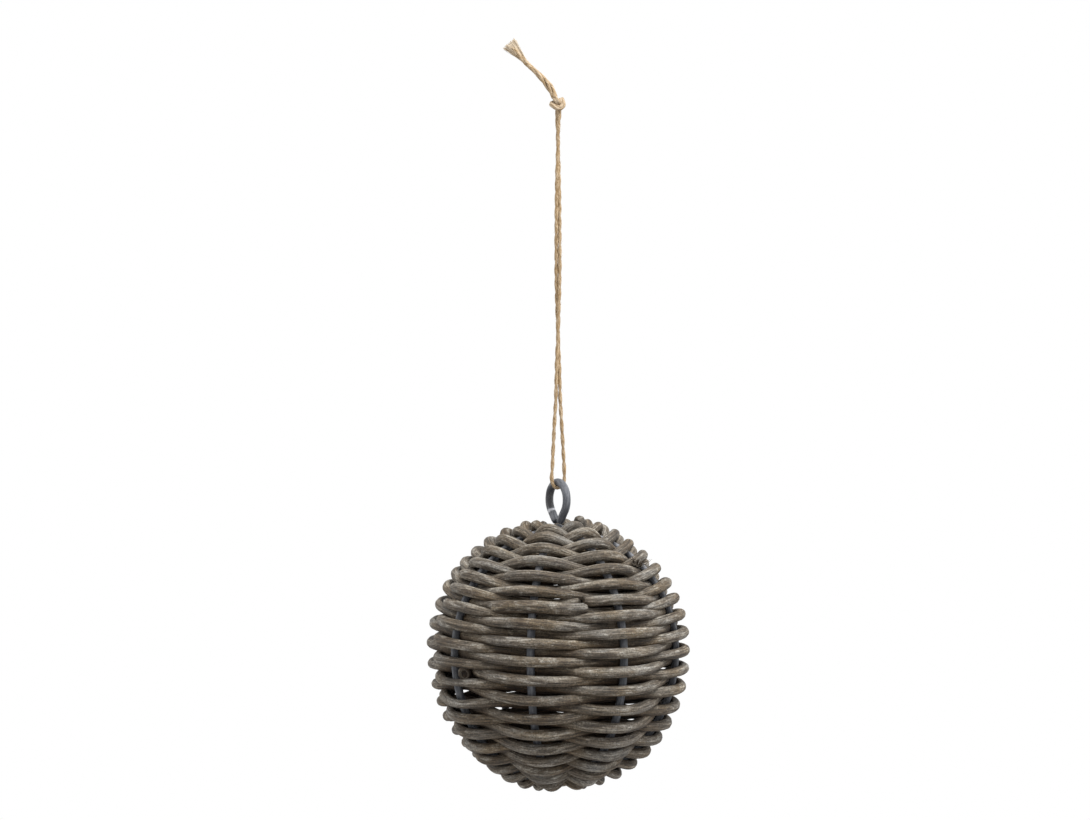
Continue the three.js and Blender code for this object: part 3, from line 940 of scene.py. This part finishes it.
class Finish:
    """A node material in the making."""

    def __init__(self, name):
        self.material = bpy.data.materials.new(name)
        self.material.use_nodes = True
        self.nodes = self.material.node_tree.nodes
        self.links = self.material.node_tree.links
        self.shader = self.nodes["Principled BSDF"]

    def add(self, kind, **settings):
        node = self.nodes.new(kind)
        for name, value in settings.items():
            setattr(node, name, value)
        return node

    def link(self, source, target):
        self.links.new(source, target)

    def attribute(self, name, output="Vector"):
        return self.add("ShaderNodeAttribute", attribute_name=name).outputs[output]

    def stretched(self, vector, scale, shift=(0, 0, 0)):
        node = self.add("ShaderNodeMapping")
        node.inputs["Scale"].default_value = scale
        node.inputs["Location"].default_value = shift
        self.link(vector, node.inputs["Vector"])
        return node.outputs["Vector"]

    def noise(self, vector, scale, detail=3.0, roughness=0.6, distortion=0.0):
        node = self.add("ShaderNodeTexNoise")
        node.inputs["Scale"].default_value = scale
        node.inputs["Detail"].default_value = detail
        node.inputs["Roughness"].default_value = roughness
        node.inputs["Distortion"].default_value = distortion
        self.link(vector, node.inputs["Vector"])
        return node.outputs["Fac"]

    def ramp(self, value, stops):
        node = self.add("ShaderNodeValToRGB")
        elements = node.color_ramp.elements
        while len(elements) < len(stops):
            elements.new(0.5)
        for element, (place, colour) in zip(elements, stops):
            element.position = place
            element.color = colour if isinstance(colour, tuple) else (colour, colour, colour, 1)
        self.link(value, node.inputs["Fac"])
        return node.outputs["Color"]

    def mix(self, share, first, second, blend="MIX"):
        node = self.add("ShaderNodeMix", data_type="RGBA", blend_type=blend)
        for value, socket in ((share, node.inputs[0]), (first, node.inputs[6]), (second, node.inputs[7])):
            if isinstance(value, (int, float, tuple)):
                socket.default_value = value
            else:
                self.link(value, socket)
        return node.outputs[2]

    def product(self, first, second):
        node = self.add("ShaderNodeMath", operation="MULTIPLY")
        for value, socket in ((first, node.inputs[0]), (second, node.inputs[1])):
            if isinstance(value, (int, float)):
                socket.default_value = value
            else:
                self.link(value, socket)
        return node.outputs[0]

    def bump(self, height, strength, distance, below=None):
        node = self.add("ShaderNodeBump")
        node.inputs["Strength"].default_value = strength
        node.inputs["Distance"].default_value = distance
        self.link(height, node.inputs["Height"])
        if below is not None:
            self.link(below, node.inputs["Normal"])
        return node.outputs["Normal"]


def srgb(red, green, blue):
    """The linear colour of the usual values up to 255."""
    def linear(value):
        value /= 255
        return value / 12.92 if value <= 0.04045 else ((value + 0.055) / 1.055) ** 2.4

    return (linear(red), linear(green), linear(blue), 1)


def rattan_with_wear_and_painted_shade():
    finish = Finish("weathered rattan")
    straight = finish.attribute("straightened")
    wear_and_shade = finish.attribute("wear_and_shade", "Fac")
    fibre = finish.noise(finish.stretched(straight, (1, 1, 0.035)), 1.0, 3, 0.75)
    grain = finish.noise(finish.stretched(straight, (1, 1, 0.06)), 2.5, 3, 0.7)
    splits = finish.noise(finish.stretched(straight, (1, 1, 0.035), (4, 8, 2)), 0.75, 2, 0.6)
    mottle = finish.noise(finish.stretched(straight, (1, 1, 0.22)), 0.42, 5, 0.7, 0.25)
    lengths = finish.noise(finish.stretched(straight, (0.3, 0.3, 0.3)), 0.13, 2, 0.5)
    flecks = finish.noise(finish.stretched(straight, (1, 1, 0.45), (7, 3, 9)), 0.85, 4, 0.8)
    speckle = finish.noise(straight, 1.5, 3, 0.75)

    aged = finish.ramp(fibre, [
        (0.36, srgb(54, 46, 38)), (0.45, srgb(92, 83, 73)), (0.54, srgb(122, 115, 106)),
        (0.64, srgb(152, 147, 139)),
    ])
    bark = finish.ramp(mottle, [
        (0.40, srgb(66, 54, 42)), (0.50, srgb(110, 100, 88)), (0.60, srgb(150, 148, 145)),
    ])
    colour = finish.mix(0.5, aged, bark)
    tone = finish.ramp(lengths, [(0.38, srgb(214, 197, 168)), (0.62, srgb(236, 238, 240))])
    colour = finish.mix(0.9, colour, tone, "MULTIPLY")
    pale = finish.ramp(flecks, [(0.51, 0.0), (0.60, 1.0)])
    pale = finish.product(pale, finish.ramp(mottle, [(0.45, 0.1), (0.57, 0.8)]))
    colour = finish.mix(finish.product(pale, 0.65), colour, srgb(174, 169, 160))
    shade = finish.ramp(grain, [(0.36, 0.36), (0.50, 0.92), (0.62, 1.25)])
    colour = finish.mix(0.85, colour, shade, "MULTIPLY")
    dots = finish.ramp(speckle, [(0.36, 0.42), (0.50, 1.0), (0.64, 1.3)])
    colour = finish.mix(0.9, colour, dots, "MULTIPLY")
    cracks = finish.ramp(splits, [(0.474, 1.0), (0.492, 0.25), (0.508, 0.25), (0.526, 1.0)])
    colour = finish.mix(finish.ramp(mottle, [(0.44, 0.8), (0.56, 0.2)]), colour, cracks, "MULTIPLY")
    # painted shade with the wear: undersides, inner faces, inner rows and the lower ball are painted darker
    # brown, outer and upper faces paler
    shade_and_weather_tint = finish.ramp(wear_and_shade, [
        (0.0, srgb(124, 102, 79)), (0.25, srgb(158, 139, 117)), (0.48, srgb(200, 189, 173)),
        (0.82, srgb(246, 246, 245)),
    ])
    colour = finish.mix(1.0, colour, shade_and_weather_tint, "MULTIPLY")
    finish.link(colour, finish.shader.inputs["Base Color"])

    finish.link(finish.ramp(mottle, [(0.3, 0.60), (0.7, 0.88)]), finish.shader.inputs["Roughness"])
    finish.shader.inputs["Specular IOR Level"].default_value = 0.35
    rough = finish.bump(flecks, 0.7, 0.20 * MM)
    rough = finish.bump(fibre, 0.9, 0.40 * MM, rough)
    rough = finish.bump(cracks, 0.5, 0.15 * MM, rough)
    finish.link(finish.bump(grain, 0.8, 0.16 * MM, rough), finish.shader.inputs["Normal"])
    return finish.material


def painted_wire():
    finish = Finish("worn painted wire")
    straight = finish.attribute("straightened")
    wear_and_shade = finish.attribute("wear_and_shade", "Fac")
    cloud = finish.noise(finish.stretched(straight, (1, 1, 0.25)), 0.9, 4, 0.65)
    scuffs = finish.noise(finish.stretched(straight, (1, 1, 0.3), (5, 1, 2)), 2.1, 4, 0.7)
    colour = finish.ramp(cloud, [
        (0.36, srgb(58, 60, 65)), (0.5, srgb(76, 78, 83)), (0.64, srgb(100, 101, 105)),
    ])
    worn = finish.ramp(scuffs, [(0.56, 0.0), (0.70, 1.0)])
    colour = finish.mix(finish.product(worn, 0.35), colour, srgb(134, 135, 138))
    # bare metal where the paint is worn, and a painted highlight on the ribs' tops
    bare_and_highlight = finish.ramp(wear_and_shade, [(0.60, 0.0), (0.95, 1.0)])
    colour = finish.mix(bare_and_highlight, colour, srgb(168, 168, 172))
    # grime and painted shade on the ring's far leg: low values are painted dark brown
    grime_and_shade = finish.ramp(wear_and_shade, [(0.05, srgb(104, 88, 70)), (0.48, (1, 1, 1, 1))])
    colour = finish.mix(1.0, colour, grime_and_shade, "MULTIPLY")
    finish.link(colour, finish.shader.inputs["Base Color"])
    finish.link(finish.ramp(scuffs, [(0.35, 0.50), (0.7, 0.75)]), finish.shader.inputs["Roughness"])
    finish.shader.inputs["Specular IOR Level"].default_value = 0.4
    finish.link(finish.bump(scuffs, 0.5, 0.08 * MM), finish.shader.inputs["Normal"])
    return finish.material


def jute():
    finish = Finish("jute fibre")
    straight = finish.attribute("straightened")
    wear_and_shade = finish.attribute("wear_and_shade", "Fac")
    fibre = finish.noise(finish.stretched(straight, (1, 1, 0.12)), 3.6, 3, 0.65)
    patch = finish.noise(finish.stretched(straight, (1, 1, 1)), 0.30, 2, 0.5)
    colour = finish.ramp(fibre, [
        (0.34, srgb(114, 90, 61)), (0.44, srgb(149, 127, 98)), (0.56, srgb(171, 151, 125)),
        (0.68, srgb(196, 180, 157)),
    ])
    tone = finish.ramp(patch, [(0.38, srgb(232, 220, 196)), (0.62, (1, 1, 1, 1))])
    colour = finish.mix(0.7, colour, tone, "MULTIPLY")
    # painted shade in the hollows of the plies; the frayed fibres and the tops of lumps are painted paler
    hollow_shade = finish.ramp(wear_and_shade, [(0.15, srgb(205, 182, 146)), (0.55, (1, 1, 1, 1))])
    colour = finish.mix(0.5, colour, hollow_shade, "MULTIPLY")
    frayed_and_lit = finish.ramp(wear_and_shade, [(0.62, 0.0), (0.95, 0.75)])
    colour = finish.mix(frayed_and_lit, colour, srgb(200, 187, 168))
    finish.link(colour, finish.shader.inputs["Base Color"])
    finish.shader.inputs["Roughness"].default_value = 0.9
    finish.shader.inputs["Specular IOR Level"].default_value = 0.2
    finish.link(finish.bump(fibre, 0.6, 0.10 * MM), finish.shader.inputs["Normal"])
    return finish.material


def pale_floor():
    finish = Finish("pale floor")
    finish.shader.inputs["Base Color"].default_value = (FLOOR_GREY, FLOOR_GREY, FLOOR_GREY, 1)
    finish.shader.inputs["Roughness"].default_value = 0.9
    return finish.material


RATTAN = rattan_with_wear_and_painted_shade()
PAINTED_WIRE = painted_wire()
JUTE = jute()

# ---- The whole scene --------------------------------------------------------------------------------

camera()
twine()
surroundings()
for rib_number in range(1, RIB_COUNT + 1):
    rib(rib_number)
weld("top_weld_bead", "frame_top_weld", half_size=(4.2, 4.0, 2.0), shift=(0, 0, -0.6), seed=3)
weld("bottom_weld_bead", "frame_bottom_weld", half_size=(4.2, 4.0, 2.2), shift=(0, 0, 0.3), seed=8)
hanging_ring()
weave()
splinters(azimuth=math.radians(61), arc=36.6 * MM, count=70, seed=12)
